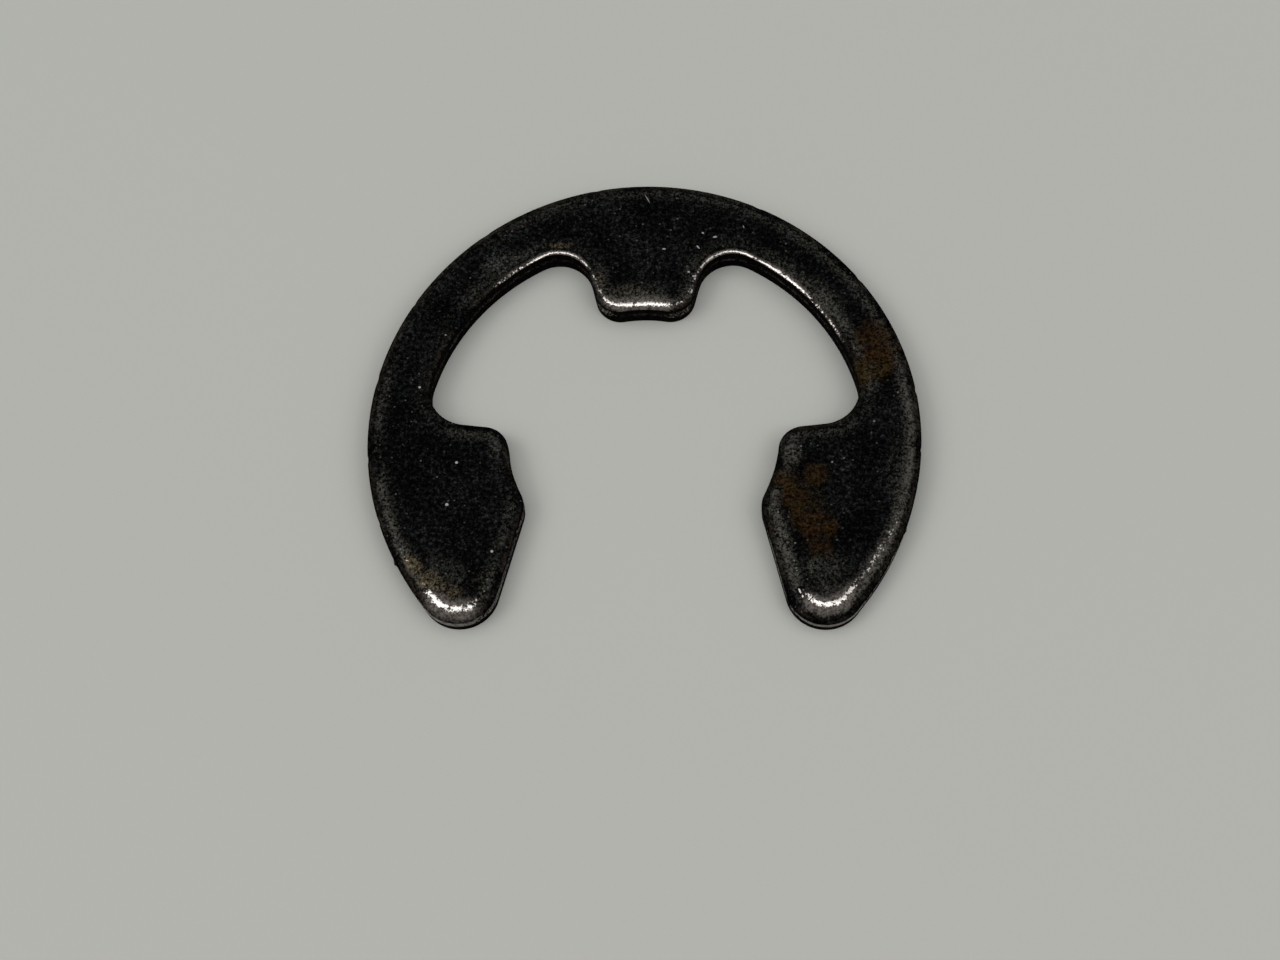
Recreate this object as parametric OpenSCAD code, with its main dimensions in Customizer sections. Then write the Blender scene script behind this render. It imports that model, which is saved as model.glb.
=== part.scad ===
// E-type retaining ring, stamped from spring steel and lying flat.
// It snaps sideways into a groove in a shaft: the prong at the back of the bow and the two pads on
// the arms bear on the groove, and the flat faces carry the thrust.
//
// Frame: +Z up. The origin is the middle of the seat circle, on the underside. The prong points at
// the origin from +Y, and the mouth opens towards -Y. The blank is symmetric left to right, so the
// right half is worked out and mirrored.

/* [Ring] */
// Outside diameter
outer_d = 20.4; // [20:0.1:21]
// Thickness of the strip
thickness = 1.2; // [1:0.1:1.5]
// Diameter of the seat circle, which the prong and the pads bear on
seat_d = 10; // [9.8:0.1:10.4]
// Inside radius of each half of the bow
bow_inner_r = 8.05; // [7.9:0.05:8.2]
// How far the middle of each half of the bow lies from the centre line
bow_shift = 0.15; // [0.05:0.05:0.3]

/* [Prong] */
// Width of the prong where its flanks pass the seat circle's highest point
prong_w = 3.42; // [3.2:0.02:3.8]
// How far each flank of the prong leans out towards its root, in degrees
prong_lean = 14.7; // [10:0.1:18]
// Radius of the prong's two corners
prong_corner_r = 0.97; // [0.9:0.01:1.1]
// Radius where the prong's flank runs into the bow
prong_root_r = 1.3; // [1.1:0.05:1.5]

/* [Arms and pads] */
// Height of the pad's shoulder above the centre, at the seat circle
shoulder_y = 0.3; // [0:0.05:0.5]
// Rise of the shoulder towards the bow, in degrees
shoulder_rise = 3.5; // [2:0.5:6]
// Radius where the bow runs into the shoulder
shoulder_root_r = 1.36; // [1.2:0.02:1.5]
// Radius of the pad's upper corner
pad_top_r = 0.94; // [0.9:0.02:1.1]
// Radius of the pad's lower corner
pad_bottom_r = 1.03; // [0.9:0.01:1.2]
// How far below the centre line the seat ends on each pad, in degrees
pad_end = 31.5; // [29:0.5:34]
// How far the arm's inner flank leans out towards the tip, in degrees
inner_lean = 15.1; // [12:0.1:18]
// How far below the centre line the outer flank leaves the outside circle, in degrees
outer_lean = 37.2; // [35:0.1:40]
// Radius of the arm's tip
tip_r = 1.47; // [1.3:0.01:1.6]

/* [Rolled edge] */
// Width of the rolled edge that blanking leaves round the upper face
roll_w = 0.75; // [0.5:0.05:0.8]
// Depth of the rolled edge at the wall
roll_d = 0.35; // [0.2:0.01:0.5]

/* [Hidden] */
$fn = 180;

outer_r = outer_d / 2;
seat_r = seat_d / 2;
far = 2 * outer_r;       // past every edge of the blank
corner_slack = 1.001;    // corner arcs are this much wide of tangent, so that they cross what they meet
corner_reach = 1.3;      // how far a corner's piece reaches, as a multiple of its radius
chord_error = 0.012;     // largest gap between an arc and the rolled edge's straight steps
roll_steps = 4;          // straight steps across the rolled edge
clear = 0.1;             // how far the roll's cutter stands off the face and the wall

// ---- plane geometry ----

// Unit vector at an angle.
function heading(angle) = [cos(angle), sin(angle)];

// Angle of a vector.
function angle_of(v) = atan2(v[1], v[0]);

// Where the line through a point at an angle meets a circle: which is 1 for the further crossing
// along the line and -1 for the nearer.
function line_to_circle(point, angle, centre, radius, which) =
    let (d = heading(angle), f = point - centre, b = f * d)
    point + (which * sqrt(b * b - f * f + radius * radius) - b) * d;

// Where two lines cross, each given by a point and an angle.
function line_to_line(p, angle_p, q, angle_q) =
    let (d = heading(angle_p), n = heading(angle_q + 90))
    p + ((q - p) * n) / (d * n) * d;

// The same angle, brought to within half a turn of another.
function near_angle(angle, other) = angle - 360 * round((angle - other) / 360);

// An arc is [centre, radius, from, to]. It is walked with the metal on its left, so a corner of the
// metal turns left (to > from) and a hollow turns right (to < from).
function arc(centre, radius, from, to) = [centre, radius, from, near_angle(to, from)];
function turn(arc) = sign(arc[3] - arc[2]);

// The point of an arc at an angle, pushed out of the metal by a distance.
function arc_point(arc, angle, push) = arc[0] + (arc[1] + turn(arc) * push) * heading(angle);

// Points along an arc, pushed out of the metal by a distance, from its first point or its second.
function arc_points(arc, push, first) =
    let (step = 2 * acos(1 - chord_error / arc[1]),
         count = max(2, ceil(abs(arc[3] - arc[2]) / step)))
    [for (i = [first:count]) arc_point(arc, arc[2] + (arc[3] - arc[2]) * i / count, push)];

// Whether an arc starts where the one before it ends, with no straight edge between them.
function joined(before, arc) =
    norm(arc_point(before, before[3], 0) - arc_point(arc, arc[2], 0)) < chord_error;

// ---- the right half's outline ----

centre = [0, 0];
bow_centre = [bow_shift, 0];

// Straight edges: a point on each, and its heading when walked with the metal on the left.
flank_point = [prong_w / 2, seat_r];
flank_angle = 90 - prong_lean;
shoulder_point = [seat_r, shoulder_y];
shoulder_angle = 180 + shoulder_rise;
inner_point = seat_r * heading(-pad_end);
inner_angle = inner_lean - 90;
outer_point = outer_r * heading(-outer_lean);
outer_angle = 90 - outer_lean;

// A point shifted to the left of a heading, which is into the metal.
function into_metal(point, angle, distance) = point + distance * heading(angle + 90);

// Middles of the rounded corners.
prong_corner = line_to_circle(into_metal(flank_point, flank_angle, prong_corner_r), flank_angle,
                              centre, seat_r + prong_corner_r, 1);
prong_root = line_to_circle(into_metal(flank_point, flank_angle, -prong_root_r), flank_angle,
                            bow_centre, bow_inner_r - prong_root_r, 1);
shoulder_root = line_to_circle(into_metal(shoulder_point, shoulder_angle, -shoulder_root_r),
                               shoulder_angle, bow_centre, bow_inner_r - shoulder_root_r, -1);
pad_top = line_to_circle(into_metal(shoulder_point, shoulder_angle, pad_top_r), shoulder_angle,
                         centre, seat_r + pad_top_r, -1);
pad_bottom = line_to_circle(into_metal(inner_point, inner_angle, pad_bottom_r), inner_angle,
                            centre, seat_r + pad_bottom_r, 1);
tip = line_to_line(into_metal(inner_point, inner_angle, tip_r), inner_angle,
                   into_metal(outer_point, outer_angle, tip_r), outer_angle);

// The rounded corners, each from where it leaves one edge to where it meets the next.
prong_corner_arc = arc(prong_corner, prong_corner_r, angle_of(centre - prong_corner), flank_angle - 90);
prong_root_arc = arc(prong_root, prong_root_r, flank_angle + 90, angle_of(prong_root - bow_centre));
shoulder_root_arc = arc(shoulder_root, shoulder_root_r, angle_of(shoulder_root - bow_centre),
                        shoulder_angle + 90);
pad_top_arc = arc(pad_top, pad_top_r, shoulder_angle - 90, angle_of(centre - pad_top));
pad_bottom_arc = arc(pad_bottom, pad_bottom_r, angle_of(centre - pad_bottom), inner_angle - 90);
tip_arc = arc(tip, tip_r, inner_angle - 90, outer_angle - 90);

// The whole right half in order, from the prong's tip round to the back of the bow. Straight edges
// need no entry: they run from the end of one arc to the start of the next.
half_outline = [
    arc(centre, seat_r, 90, angle_of(prong_corner)),
    prong_corner_arc,
    prong_root_arc,
    arc(bow_centre, bow_inner_r, prong_root_arc[3], shoulder_root_arc[2]),
    shoulder_root_arc,
    pad_top_arc,
    arc(centre, seat_r, angle_of(pad_top), angle_of(pad_bottom)),
    pad_bottom_arc,
    tip_arc,
    arc(centre, outer_r, -outer_lean, 90),
];

// ---- the flat blank ----

// Draws a shape and its mirror image on the left.
module both_sides() {
    children();
    mirror([1, 0]) children();
}

// What lies beyond a corner's arc, out past where the sharp corner would be. Taken from the metal
// it rounds a corner, and left in it, it fills a hollow.
module beyond(arc) {
    half_turn = (arc[3] - arc[2]) / 2;
    reach = corner_reach * arc[1];
    difference() {
        polygon([arc[0],
                 arc[0] + reach * heading(arc[2]),
                 arc[0] + reach / cos(half_turn) * heading(arc[2] + half_turn),
                 arc[0] + reach * heading(arc[3])]);
        translate(arc[0]) circle(r = corner_slack * arc[1]);
    }
}

// The opening between the prong and the shoulder, under the right half of the bow.
module pocket() {
    difference() {
        intersection() {
            translate(bow_centre) circle(r = bow_inner_r);
            polygon([flank_point - seat_r / 2 * heading(flank_angle),
                     flank_point + far * heading(flank_angle),
                     [far, far],
                     shoulder_point - far * heading(shoulder_angle),
                     shoulder_point + seat_r / 2 * heading(shoulder_angle)]);
        }
        beyond(prong_root_arc);
        beyond(shoulder_root_arc);
    }
}

// The way in for the shaft, from the seat circle out past the tips.
module mouth() {
    inner_end = inner_point - seat_r / 3 * heading(inner_angle);
    outer_end = inner_point + far * heading(inner_angle);
    polygon([inner_end, outer_end, [-outer_end[0], outer_end[1]], [-inner_end[0], inner_end[1]]]);
}

// What is cut away outside the right arm's outer flank.
module outer_flank() {
    edge = outer_point / corner_slack;
    polygon([edge + far * heading(outer_angle),
             edge - far * heading(outer_angle),
             edge + far * heading(outer_angle - 90)]);
}

module blank() {
    difference() {
        circle(r = outer_r);
        circle(r = seat_r);
        mouth();
        both_sides() {
            pocket();
            outer_flank();
            beyond(prong_corner_arc);
            beyond(pad_top_arc);
            beyond(pad_bottom_arc);
            beyond(tip_arc);
        }
    }
}

// ---- the rolled edge ----

// The curve is an arc that leaves the upper face roll_w in from the wall and meets the wall roll_d
// down. Its points are [push out of the metal, height above the upper face].
roll_r = (roll_w * roll_w + roll_d * roll_d) / (2 * roll_d);
roll_angle = asin(roll_w / roll_r);
roll_curve = [for (i = [0:roll_steps])
    let (a = roll_angle * i / roll_steps)
    [roll_r * sin(a) - roll_w, roll_r * (cos(a) - 1)]];

// The point at a given push on the line through two others.
function on_line(p, q, push) = [push, p[1] + (q[1] - p[1]) * (push - p[0]) / (q[0] - p[0])];

// Cross-section of the cutter. The curve's two end steps run on past the upper face and the wall, so
// that each is crossed cleanly and no corner of the cutter lies on it.
roll_profile = concat(
    [[-roll_w - clear, thickness], on_line(roll_curve[0], roll_curve[1], -roll_w - clear)],
    [for (i = [1:roll_steps - 1]) roll_curve[i]],
    [on_line(roll_curve[roll_steps - 1], roll_curve[roll_steps], clear), [clear, thickness]]);

// The outline pushed out of the metal by a distance, as a closed ring of points.
function outline(push) =
    let (right = [for (k = [0:len(half_outline) - 1])
             let (shared = k > 0 && joined(half_outline[k - 1], half_outline[k]))
             each arc_points(half_outline[k], push, shared ? 1 : 0)],
         last = len(right) - 1)
    concat(right, [for (i = [last - 1:-1:1]) [-right[i][0], right[i][1]]]);

// A moulding swept round the outline: one ring of points for each corner of the cross-section.
module roll_cutter() {
    rings = [for (corner = roll_profile)
        [for (p = outline(corner[0])) [p[0], p[1], thickness + corner[1]]]];
    ring_count = len(rings);
    count = len(rings[0]);
    polyhedron(
        points = [for (ring = rings) each ring],
        faces = [for (j = [0:ring_count - 1], i = [0:count - 1])
            let (a = j * count + i,
                 b = j * count + (i + 1) % count,
                 c = (j + 1) % ring_count * count + (i + 1) % count,
                 d = (j + 1) % ring_count * count + i)
            each [[a, c, b], [a, d, c]]],
        convexity = 6);
}

module e_clip() {
    color("#2b2725")
    difference() {
        linear_extrude(height = thickness) blank();
        roll_cutter();
    }
}

e_clip();
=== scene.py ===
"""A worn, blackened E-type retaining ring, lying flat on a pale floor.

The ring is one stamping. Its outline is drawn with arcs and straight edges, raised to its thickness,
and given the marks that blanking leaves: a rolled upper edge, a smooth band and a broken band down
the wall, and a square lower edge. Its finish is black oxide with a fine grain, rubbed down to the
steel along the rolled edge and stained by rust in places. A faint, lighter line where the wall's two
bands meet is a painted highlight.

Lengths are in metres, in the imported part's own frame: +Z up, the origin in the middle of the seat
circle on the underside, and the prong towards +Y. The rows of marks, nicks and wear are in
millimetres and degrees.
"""

import logging
import math
from dataclasses import astuple, dataclass, field
from enum import Enum
from typing import Callable, Iterable, Sequence

import bmesh
import bpy
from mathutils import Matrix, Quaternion, Vector
from mathutils.kdtree import KDTree


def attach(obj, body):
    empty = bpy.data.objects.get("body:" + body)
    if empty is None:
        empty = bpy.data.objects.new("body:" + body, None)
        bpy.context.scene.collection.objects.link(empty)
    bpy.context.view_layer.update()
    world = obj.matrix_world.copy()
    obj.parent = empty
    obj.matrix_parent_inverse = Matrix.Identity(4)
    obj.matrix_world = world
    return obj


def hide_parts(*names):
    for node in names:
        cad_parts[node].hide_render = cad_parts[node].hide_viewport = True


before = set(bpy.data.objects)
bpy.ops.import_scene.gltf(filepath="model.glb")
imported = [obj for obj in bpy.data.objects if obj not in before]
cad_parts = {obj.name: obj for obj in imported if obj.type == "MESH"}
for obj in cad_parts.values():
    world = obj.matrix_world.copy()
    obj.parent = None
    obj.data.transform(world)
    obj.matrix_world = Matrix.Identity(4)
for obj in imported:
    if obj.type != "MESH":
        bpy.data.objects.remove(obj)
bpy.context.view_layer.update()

log = logging.getLogger("scene")

MM = 0.001
NODE = "e_clip"
BODY = "root"


# ---- The outline ----


def heading(angle: float) -> Vector:
    """Returns the unit vector at an angle in the plane."""
    return Vector((math.cos(angle), math.sin(angle)))


def angle_of(vector: Vector) -> float:
    """Returns the angle of a vector in the plane."""
    return math.atan2(vector.y, vector.x)


def smooth_step(value: float) -> float:
    """Returns a value eased from 0 to 1, level at both ends."""
    x = min(1.0, max(0.0, value))
    return x * x * (3.0 - 2.0 * x)


class Stretch(Enum):
    """The round stretches of the outline's right half, in the order that they are walked."""

    PRONG_SEAT = "seat on the prong"
    PRONG_CORNER = "corner of the prong"
    PRONG_ROOT = "root of the prong"
    BOW = "inside of the bow"
    SHOULDER_ROOT = "root of the shoulder"
    PAD_TOP = "upper corner of the pad"
    PAD_SEAT = "seat on the pad"
    PAD_BOTTOM = "lower corner of the pad"
    TIP = "tip of the arm"
    BACK = "outside circle"


@dataclass(frozen=True)
class Edge:
    """A straight edge of the blank, walked with the metal on its left."""

    point: Vector
    angle: float

    def shifted(self, distance: float) -> "Edge":
        """Returns the edge moved into the metal by a distance."""
        return Edge(self.point + distance * heading(self.angle + math.pi / 2), self.angle)

    def corner(self, rounding: float, centre: Vector, radius: float, which: int) -> Vector:
        """Finds the middle of an arc that touches both the edge and a circle.

        Args:
            rounding: The arc's radius, which is negative in a hollow of the metal.
            centre: The circle's middle.
            radius: The circle's radius.
            which: 1 for the further of two such arcs along the edge, -1 for the nearer.

        Returns:
            The arc's middle.
        """
        line = self.shifted(rounding)
        along = heading(self.angle)
        offset = line.point - centre
        middle = offset.dot(along)
        half = math.sqrt(middle * middle - offset.dot(offset) + (radius + rounding) ** 2)
        return line.point + (which * half - middle) * along

    def meets_edge(self, other: "Edge") -> Vector:
        """Returns where the lines of two edges cross."""
        along = heading(self.angle)
        normal = heading(other.angle + math.pi / 2)
        return self.point + (other.point - self.point).dot(normal) / along.dot(normal) * along


@dataclass(frozen=True)
class Arc:
    """A round stretch of the outline. A corner of the metal turns left, a hollow turns right."""

    stretch: Stretch
    centre: Vector
    radius: float
    start: float
    end: float

    @classmethod
    def between(cls, stretch: Stretch, centre: Vector, radius: float, start: float, end: float) -> "Arc":
        """Builds an arc whose end is brought within half a turn of its start."""
        turns = round((end - start) / (2 * math.pi))
        return cls(stretch, centre, radius, start, end - 2 * math.pi * turns)

    @property
    def turn(self) -> int:
        """Returns 1 for a corner of the metal and -1 for a hollow."""
        return 1 if self.end > self.start else -1

    @property
    def length(self) -> float:
        """Returns the arc's length."""
        return abs(self.end - self.start) * self.radius

    def point(self, angle: float) -> Vector:
        """Returns the arc's point at an angle."""
        return self.centre + self.radius * heading(angle)

    def out(self, angle: float) -> Vector:
        """Returns the direction out of the metal at an angle."""
        return self.turn * heading(angle)


@dataclass
class RingSizes:
    """The ring's driving sizes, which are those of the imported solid."""

    outer_r: float = 10.2 * MM
    thickness: float = 1.2 * MM
    seat_r: float = 5.0 * MM
    bow_inner_r: float = 8.05 * MM
    bow_shift: float = 0.15 * MM
    prong_w: float = 3.42 * MM
    prong_lean: float = math.radians(14.7)
    prong_corner_r: float = 0.97 * MM
    prong_root_r: float = 1.3 * MM
    shoulder_y: float = 0.3 * MM
    shoulder_rise: float = math.radians(3.5)
    shoulder_root_r: float = 1.36 * MM
    pad_top_r: float = 0.94 * MM
    pad_bottom_r: float = 1.03 * MM
    pad_end: float = math.radians(31.5)
    inner_lean: float = math.radians(15.1)
    outer_lean: float = math.radians(37.2)
    tip_r: float = 1.47 * MM

    def half_outline(self) -> list[Arc]:
        """Works out the round stretches of the right half.

        Returns:
            The arcs in order, from the prong's tip round to the middle of the back. Straight edges run
            from the end of one arc to the start of the next.
        """
        quarter = math.pi / 2
        middle = Vector((0.0, 0.0))
        bow = Vector((self.bow_shift, 0.0))
        flank = Edge(Vector((self.prong_w / 2, self.seat_r)), quarter - self.prong_lean)
        shoulder = Edge(Vector((self.seat_r, self.shoulder_y)), math.pi + self.shoulder_rise)
        inner = Edge(self.seat_r * heading(-self.pad_end), self.inner_lean - quarter)
        outer = Edge(self.outer_r * heading(-self.outer_lean), quarter - self.outer_lean)

        prong_corner = flank.corner(self.prong_corner_r, middle, self.seat_r, 1)
        prong_root = flank.corner(-self.prong_root_r, bow, self.bow_inner_r, 1)
        shoulder_root = shoulder.corner(-self.shoulder_root_r, bow, self.bow_inner_r, -1)
        pad_top = shoulder.corner(self.pad_top_r, middle, self.seat_r, -1)
        pad_bottom = inner.corner(self.pad_bottom_r, middle, self.seat_r, 1)
        tip = inner.shifted(self.tip_r).meets_edge(outer.shifted(self.tip_r))

        bow_start = angle_of(prong_root - bow)
        bow_end = angle_of(shoulder_root - bow)
        rows = (
            (middle, self.seat_r, quarter, angle_of(prong_corner)),
            (prong_corner, self.prong_corner_r, angle_of(-prong_corner), flank.angle - quarter),
            (prong_root, self.prong_root_r, flank.angle + quarter, bow_start),
            (bow, self.bow_inner_r, bow_start, bow_end),
            (shoulder_root, self.shoulder_root_r, bow_end, shoulder.angle + quarter),
            (pad_top, self.pad_top_r, shoulder.angle - quarter, angle_of(-pad_top)),
            (middle, self.seat_r, angle_of(pad_top), angle_of(pad_bottom)),
            (pad_bottom, self.pad_bottom_r, angle_of(-pad_bottom), inner.angle - quarter),
            (tip, self.tip_r, inner.angle - quarter, outer.angle - quarter),
            (middle, self.outer_r, -self.outer_lean, quarter),
        )
        return [Arc.between(stretch, *row) for stretch, row in zip(Stretch, rows)]


# ---- The rolled edge ----


@dataclass(frozen=True)
class Roll:
    """How far the blanking has drawn the upper edge down at one place on the outline.

    Attributes:
        width: How far in from the wall the roll begins.
        depth: How far it has sunk at the wall.
        crest: How far in from the wall the crest lies, which rubs bare first.
        reach: How far the bare steel spreads to either side of the crest.
    """

    width: float
    depth: float
    crest: float
    reach: float

    def mixed(self, other: "Roll", share: float) -> "Roll":
        """Returns the roll part of the way from this one to another."""
        return Roll(*(own + (new - own) * share for own, new in zip(astuple(self), astuple(other))))

    def drop(self, inward: float) -> float:
        """Works out how far the face lies below the flat.

        The face sinks slowly from the flat and turns down over a small nose at the wall.

        Args:
            inward: The distance in from the wall.

        Returns:
            The drop at that distance.
        """
        slow_power, nose_share, nose_width = 1.7, 0.22, 0.28
        across = min(1.0, max(0.0, inward / self.width))
        nose = min(1.0, max(0.0, inward / (nose_width * self.width)))
        slow = (1.0 - across) ** slow_power
        quick = 1.0 - math.sqrt(max(0.0, 1.0 - (1.0 - nose) ** 2))
        return self.depth * ((1.0 - nose_share) * slow + nose_share * quick)


# where along each stretch, as a share of its length, the roll is what
Knots = dict[Stretch, tuple[tuple[float, Roll], ...]]
EVEN_FROM, EVEN_TO = 0.3, 0.7


def roll(*sizes: float) -> Roll:
    """Returns a roll whose sizes are given in millimetres."""
    return Roll(*(size * MM for size in sizes))


def even(*sizes: float) -> tuple[tuple[float, Roll], ...]:
    """Returns the knots of a stretch along which a roll, given in millimetres, stays the same."""
    return ((EVEN_FROM, roll(*sizes)), (EVEN_TO, roll(*sizes)))


NARROW_BOW = roll(0.21, 0.063, 0.05, 0.15)
WIDE_BOW = roll(0.28, 0.088, 0.07, 0.22)
ROLLS: Knots = {
    Stretch.PRONG_SEAT: even(0.36, 0.158, 0.20, 0.33),
    Stretch.PRONG_CORNER: even(0.42, 0.18, 0.24, 0.26),
    Stretch.PRONG_ROOT: even(0.18, 0.06, 0.08, 0.12),
    Stretch.BOW: ((0.06, NARROW_BOW), (0.20, WIDE_BOW), (0.50, WIDE_BOW), (0.80, NARROW_BOW)),
    Stretch.SHOULDER_ROOT: even(0.28, 0.10, 0.12, 0.12),
    Stretch.PAD_TOP: even(0.60, 0.28, 0.37, 0.30),
    Stretch.PAD_SEAT: even(0.46, 0.20, 0.26, 0.25),
    Stretch.PAD_BOTTOM: even(0.66, 0.32, 0.42, 0.35),
    Stretch.TIP: even(0.90, 0.50, 0.64, 0.41),
    Stretch.BACK: even(0.60, 0.22, 0.25, 0.30),
}
LEFT_ROLLS: Knots = {**ROLLS, Stretch.TIP: even(0.68, 0.33, 0.45, 0.48)}


@dataclass(frozen=True)
class EdgeMark:
    """A place on the outline, in millimetres.

    Attributes:
        x: Its distance towards +X.
        y: Its distance towards +Y.
        reach: How far along the edge the mark spreads to either side.
    """

    x: float
    y: float
    reach: float

    def away(self, place: Vector) -> float:
        """Returns how far another place lies from this one, as a share of the mark's reach."""
        return (place / MM - Vector((self.x, self.y))).length / self.reach


@dataclass(frozen=True)
class EdgeWear(EdgeMark):
    """How the edge is worn around one place.

    Attributes:
        rubbed: How far the oxide is rubbed grey along the upper edge.
        bare: How far the crest of the roll is rubbed to bright steel.
        polish: How bright the smooth band of the wall is.
    """

    rubbed: float = 0.0
    bare: float = 0.0
    polish: float = 0.0

    def share(self, place: Vector) -> float:
        """Returns how much of this wear reaches a place on the outline."""
        full_to = 0.4
        return 1.0 - smooth_step((self.away(place) - full_to) / (1.0 - full_to))


EDGE_WEAR = tuple(EdgeWear(*row) for row in (
    # the right arm, from the bow down round the tip and up to the pad
    (9.6, 3.4, 2.4, 0.6), (10.1, 0.5, 3.0, 0.85), (9.8, -2.4, 2.8, 1.0), (8.6, -4.9, 2.4, 1.0, 0.32, 0.5),
    (6.8, -6.8, 2.0, 1.0, 1.0, 1.0), (5.0, -4.9, 1.8, 0.9, 0.1, 0.6), (4.5, -2.9, 1.5, 0.85),
    (4.9, -1.2, 1.4, 0.55), (5.2, 0.2, 1.3, 0.55), (6.9, 0.4, 1.2, 0.4),
    # the right side of the bow
    (7.7, 2.6, 1.5, 0.65), (6.8, 4.6, 1.5, 0.8, 0.5), (5.2, 6.4, 1.9, 0.4, 1.0),
    (3.2, 7.4, 1.8, 0.25, 1.0), (2.0, 6.5, 0.8, 0.4, 0.4), (8.3, 5.9, 2.6, 0.5), (6.4, 8.0, 2.4, 0.45),
    (3.4, 9.6, 2.6, 0.42),
    # the prong
    (-0.4, 4.8, 2.1, 0.95, 1.0), (-1.7, 4.9, 0.8, 0.0, 0.0, 0.50), (1.5, 4.9, 0.8, 0.0, 0.0, 0.42),
    (1.5, 5.5, 1.2, 0.35, 0.35), (-1.8, 6.0, 1.0, 0.5, 0.4),
    # the left side of the bow
    (-3.4, 7.4, 1.9, 0.25, 1.0), (-4.9, 6.7, 1.5, 0.45, 0.45), (-6.2, 5.5, 1.2, 0.4),
    (0.0, 10.2, 3.0, 0.36), (-4.0, 9.4, 3.0, 0.36), (-9.9, 1.2, 2.2, 0.42),
    # the left arm, from the bow down round the tip and up to the pad
    (-9.4, -3.1, 2.4, 0.8), (-8.3, -5.2, 2.2, 1.0, 0.15), (-6.9, -6.8, 1.7, 1.0, 1.0, 0.9),
    (-5.4, -6.0, 1.4, 0.5, 0.10, 0.65), (-4.8, -4.2, 1.9, 0.35, 0.0, 0.36),
    (-4.4, -3.0, 1.0, 0.5, 0.0, 0.36), (-5.1, 0.1, 1.3, 0.6), (-6.4, 0.3, 1.2, 0.5),
))


@dataclass(frozen=True)
class Nick(EdgeMark):
    """A small dent or burr in the wall, in millimetres.

    Attributes:
        depth: How far the edge is pushed in, or out where it is negative.
        height: The height at which the nick is deepest.
        spread: How far above and below that it reaches.
    """

    depth: float
    height: float = 1.1
    spread: float = 0.6

    def push(self, place: Vector, z: float) -> float:
        """Returns how far this nick moves a point of the wall into the metal, in metres."""
        level = abs(z / MM - self.height) / self.spread
        return self.depth * MM * (1.0 - smooth_step(self.away(place))) * (1.0 - smooth_step(level))


NICKS = tuple(Nick(*row) for row in (
    (-9.02, -4.80, 0.12, -0.07, 0.45, 0.30), (-9.62, -3.35, 0.22, 0.030), (-10.16, -0.95, 0.20, 0.028),
    (-9.95, 2.20, 0.30, 0.030), (-8.70, 5.30, 0.18, 0.026), (-6.10, 8.17, 0.26, 0.026),
    (-1.90, 10.02, 0.20, 0.024), (4.30, 9.25, 0.24, 0.026), (8.05, 6.25, 0.22, 0.030),
    (10.05, 1.72, 0.18, 0.034), (10.18, -0.60, 0.14, 0.030), (9.90, -2.45, 0.18, 0.036),
    (9.55, -3.58, 0.12, -0.040, 0.60, 0.45), (9.05, -4.71, 0.16, 0.034), (7.25, -6.55, 0.16, 0.028),
    (-7.95, -6.20, 0.14, 0.030), (4.42, -3.20, 0.14, 0.026), (-4.55, -3.65, 0.16, 0.028),
))


@dataclass(frozen=True)
class Station:
    """One place on the outline."""

    place: Vector
    out: Vector
    roll: Roll


class Outline:
    """The closed outline, with the size of the rolled edge at every place on it."""

    def __init__(self, sizes: RingSizes, spacing: float) -> None:
        """Lays out the stations of both halves.

        Args:
            sizes: The ring's driving sizes.
            spacing: The greatest distance between two stations.
        """
        self.arcs = sizes.half_outline()
        self.spacing = spacing
        right = self._half_stations(ROLLS)
        left = [Station(Vector((-s.place.x, s.place.y)), Vector((-s.out.x, s.out.y)), s.roll)
                for s in self._half_stations(LEFT_ROLLS)]
        self.stations = right + left
        self._tree = KDTree(len(self.stations))
        for index, station in enumerate(self.stations):
            self._tree.insert(station.place.to_3d(), index)
        self._tree.balance()

    def steps_along(self, length: float) -> int:
        """Returns how many steps a stretch of a given length takes."""
        least = 3
        return max(least, math.ceil(length / self.spacing))

    def nearest(self, place: Vector) -> Station:
        """Returns the station nearest to a place in the plane."""
        return self.stations[self._tree.find(Vector((place.x, place.y, 0.0)))[1]]

    def _half_stations(self, rolls: Knots) -> list[Station]:
        """Walks the right half.

        Args:
            rolls: The roll of each round stretch.

        Returns:
            Its stations in order, each with its roll eased between those of the arcs.
        """
        walk: list[tuple[Vector, Vector, float]] = []
        knots: list[tuple[float, Roll]] = []
        run = 0.0
        for index, arc in enumerate(self.arcs):
            if index:
                start = walk[-1][0]
                gap = (arc.point(arc.start) - start).length
                count = self.steps_along(gap)
                for step in range(1, count):
                    place = start.lerp(arc.point(arc.start), step / count)
                    walk.append((place, arc.out(arc.start), run + gap * step / count))
                run += gap
            knots += [(run + arc.length * share, sizes) for share, sizes in rolls[arc.stretch]]
            count = self.steps_along(arc.length)
            for step in range(count + 1):
                angle = arc.start + (arc.end - arc.start) * step / count
                walk.append((arc.point(angle), arc.out(angle), run + arc.length * step / count))
            run += arc.length
        return [Station(place, out, self._roll_at(along, knots)) for place, out, along in walk]

    @staticmethod
    def _roll_at(along: float, knots: Sequence[tuple[float, Roll]]) -> Roll:
        """Eases the roll between the knots on either side of a place.

        Args:
            along: The distance along the outline.
            knots: Distances along the outline with the roll at each, in order.

        Returns:
            The roll at that distance.
        """
        before = knots[0]
        for knot in knots:
            if knot[0] >= along:
                span = knot[0] - before[0]
                share = (along - before[0]) / span if span > 0 else 0.0
                return before[1].mixed(knot[1], smooth_step(share))
            before = knot
        return before[1]


# ---- The ring ----


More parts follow.
